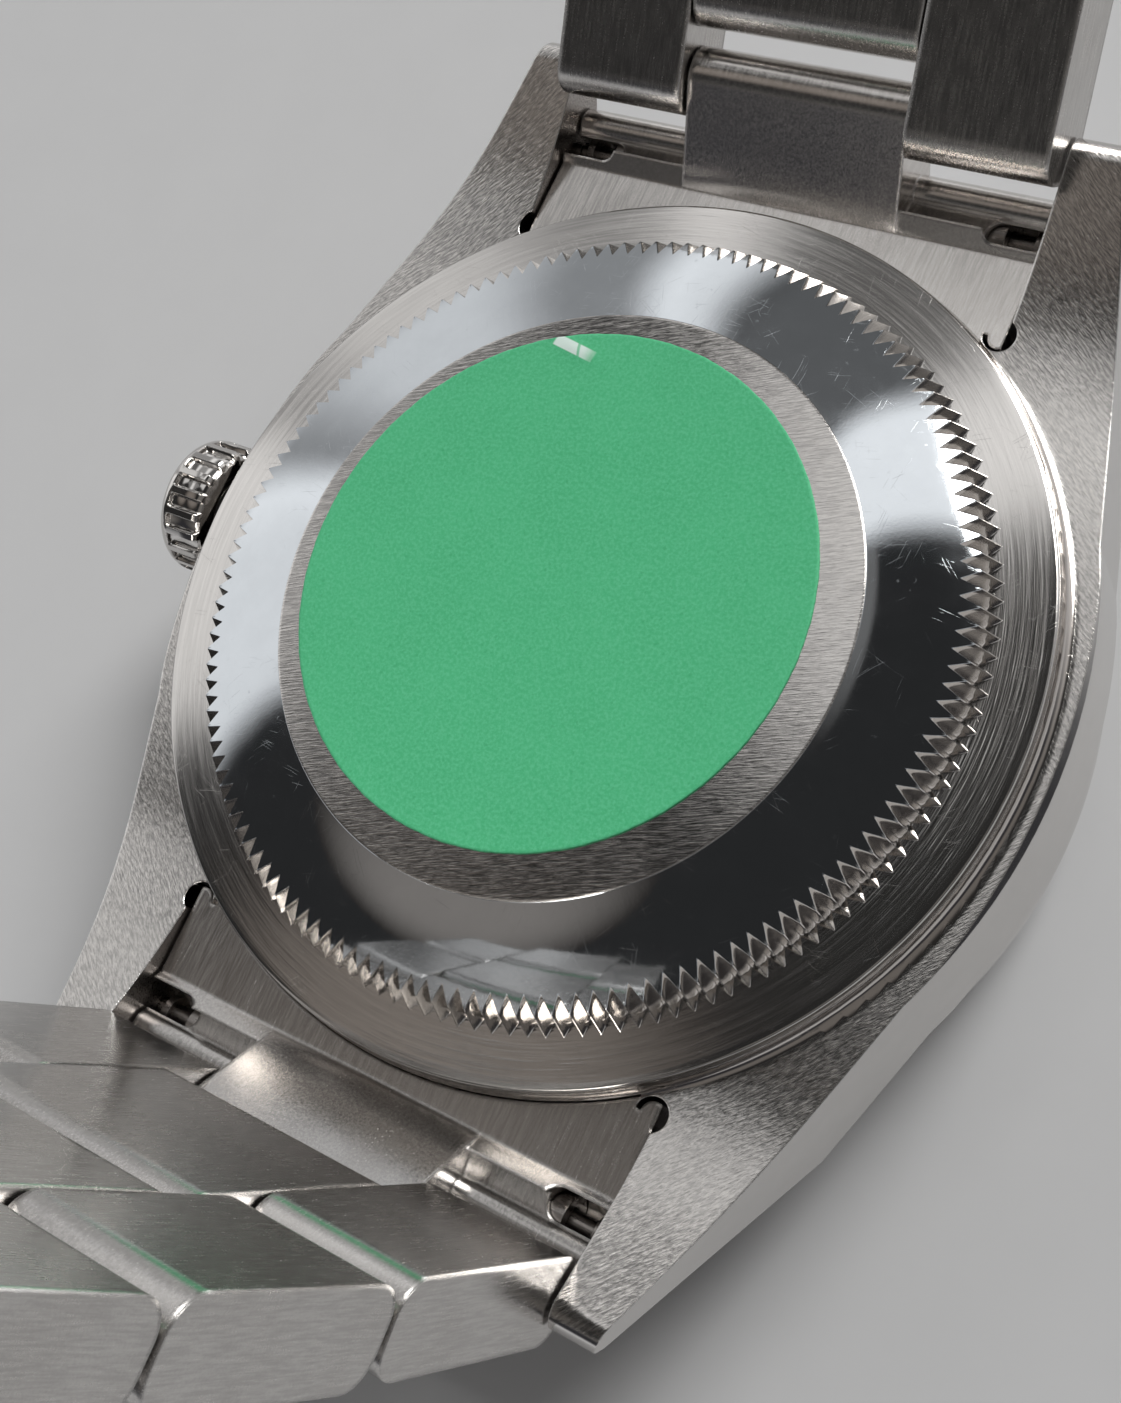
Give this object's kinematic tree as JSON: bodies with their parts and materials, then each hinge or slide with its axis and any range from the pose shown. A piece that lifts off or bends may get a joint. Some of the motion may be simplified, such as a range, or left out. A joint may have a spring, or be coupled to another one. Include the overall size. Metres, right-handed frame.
{
  "type": "watch case back",
  "caption": "Screw-down steel case back with a fluted edge and a protective sticker, fitted in its watch case with crown, end links, spring bars and bracelet links",
  "frame": {"origin": "Centre of the crystal's flat front face, on which the case lies.", "axes": "+Z goes out through the case back towards the wrist, +Y goes to the lugs at twelve o'clock, and the crown is at -X."},
  "size_m": [0.0371, 0.0568, 0.0436],
  "materials": {
    "brushed_steel_case": "brushed back with polished dome and flanks",
    "polished_steel": "polished",
    "brushed_steel_bracelet": "satin with bright rounded ends",
    "plain_steel": "plain turned",
    "green_film": "matte film",
    "black_rubber": "smooth",
    "crystal_glass": "clear",
    "white_nylon": "smooth"
  },
  "bodies": {
    "case": {"middle_case": "brushed_steel_case", "bezel": "polished_steel", "crystal": "crystal_glass", "crystal_gasket": "white_nylon", "crown_tube": "plain_steel", "end_link_12": "brushed_steel_bracelet", "end_link_6": "brushed_steel_bracelet", "spring_bar_12": "plain_steel", "spring_bar_6": "plain_steel", "bar_spring_12": "plain_steel", "bar_spring_6": "plain_steel"},
    "back_seat": {"back_gasket": "black_rubber"},
    "back": {"case_back": "brushed_steel_case", "protective_sticker": "green_film"},
    "crown_seal": {"crown_gasket": "black_rubber"},
    "crown_head": {"crown": "polished_steel", "winding_stem": "plain_steel"},
    "tip_12_left": {"bar_tip_12_left": "plain_steel"},
    "tip_12_right": {"bar_tip_12_right": "plain_steel"},
    "tip_6_left": {"bar_tip_6_left": "plain_steel"},
    "tip_6_right": {"bar_tip_6_right": "plain_steel"},
    "link_12a": {"link_12a_left": "brushed_steel_bracelet", "link_12a_right": "brushed_steel_bracelet", "link_12a_centre": "brushed_steel_bracelet", "link_12a_hinge_pin": "plain_steel", "link_12a_joining_pins": "plain_steel"},
    "link_6a": {"link_6a_left": "brushed_steel_bracelet", "link_6a_right": "brushed_steel_bracelet", "link_6a_centre": "brushed_steel_bracelet", "link_6a_hinge_pin": "plain_steel", "link_6a_joining_pins": "plain_steel"},
    "link_6b": {"link_6b_left": "brushed_steel_bracelet", "link_6b_right": "brushed_steel_bracelet", "link_6b_centre": "brushed_steel_bracelet", "link_6b_hinge_pin": "plain_steel", "link_6b_joining_pins": "plain_steel"},
    "link_6c": {"link_6c_left": "brushed_steel_bracelet", "link_6c_right": "brushed_steel_bracelet", "link_6c_centre": "brushed_steel_bracelet", "link_6c_hinge_pin": "plain_steel", "link_6c_joining_pins": "plain_steel"}
  },
  "joints": [
    {"name": "back_rise", "type": "slide", "parent": "case", "child": "back_seat", "axis": [0, 0, 1], "range_m": [0, 0.00201]},
    {"name": "back_turn", "type": "hinge", "parent": "back_seat", "child": "back", "pos_m": [0, 0, 0], "axis": [0, 0, 1], "range_deg": [0, 1440]},
    {"name": "crown_pull", "type": "slide", "parent": "case", "child": "crown_seal", "axis": [-1, 0, 0], "range_m": [0, 0.0008]},
    {"name": "crown_turn", "type": "hinge", "parent": "crown_seal", "child": "crown_head", "pos_m": [-0.01765, 0, 0.0064], "axis": [1, 0, 0], "continuous": true},
    {"name": "bar_tip_12_right_press", "type": "slide", "parent": "case", "child": "tip_12_right", "axis": [-1, 0, 0], "range_m": [0, 0.00095], "stiffness_N_per_m": 5, "deforming": ["bar_spring_12"]},
    {"name": "bar_tip_12_left_press", "type": "slide", "parent": "case", "child": "tip_12_left", "axis": [1, 0, 0], "range_m": [0, 0.00095], "stiffness_N_per_m": 5, "deforming": ["bar_spring_12"]},
    {"name": "bar_tip_6_right_press", "type": "slide", "parent": "case", "child": "tip_6_right", "axis": [-1, 0, 0], "range_m": [0, 0.00095], "stiffness_N_per_m": 5, "deforming": ["bar_spring_6"]},
    {"name": "bar_tip_6_left_press", "type": "slide", "parent": "case", "child": "tip_6_left", "axis": [1, 0, 0], "range_m": [0, 0.00095], "stiffness_N_per_m": 5, "deforming": ["bar_spring_6"]},
    {"name": "link_12a_hinge", "type": "hinge", "parent": "case", "child": "link_12a", "pos_m": [0, 0.0209, 0.0104], "axis": [1, 0, 0], "range_deg": [-40, 55]},
    {"name": "link_6a_hinge", "type": "hinge", "parent": "case", "child": "link_6a", "pos_m": [0, -0.0209, 0.0104], "axis": [-1, 0, 0], "range_deg": [-85, 10]},
    {"name": "link_6b_hinge", "type": "hinge", "parent": "link_6a", "child": "link_6b", "pos_m": [0, -0.02256, 0.02148], "axis": [-1, 0, 0], "range_deg": [-10, 50]},
    {"name": "link_6c_hinge", "type": "hinge", "parent": "link_6b", "child": "link_6c", "pos_m": [0, -0.02346, 0.03184], "axis": [-1, 0, 0], "range_deg": [-10, 50]}
  ],
  "couplings": [
    {"joint": "back_rise", "follows": "back_turn", "m_per_rad": 0.000079577}
  ]
}
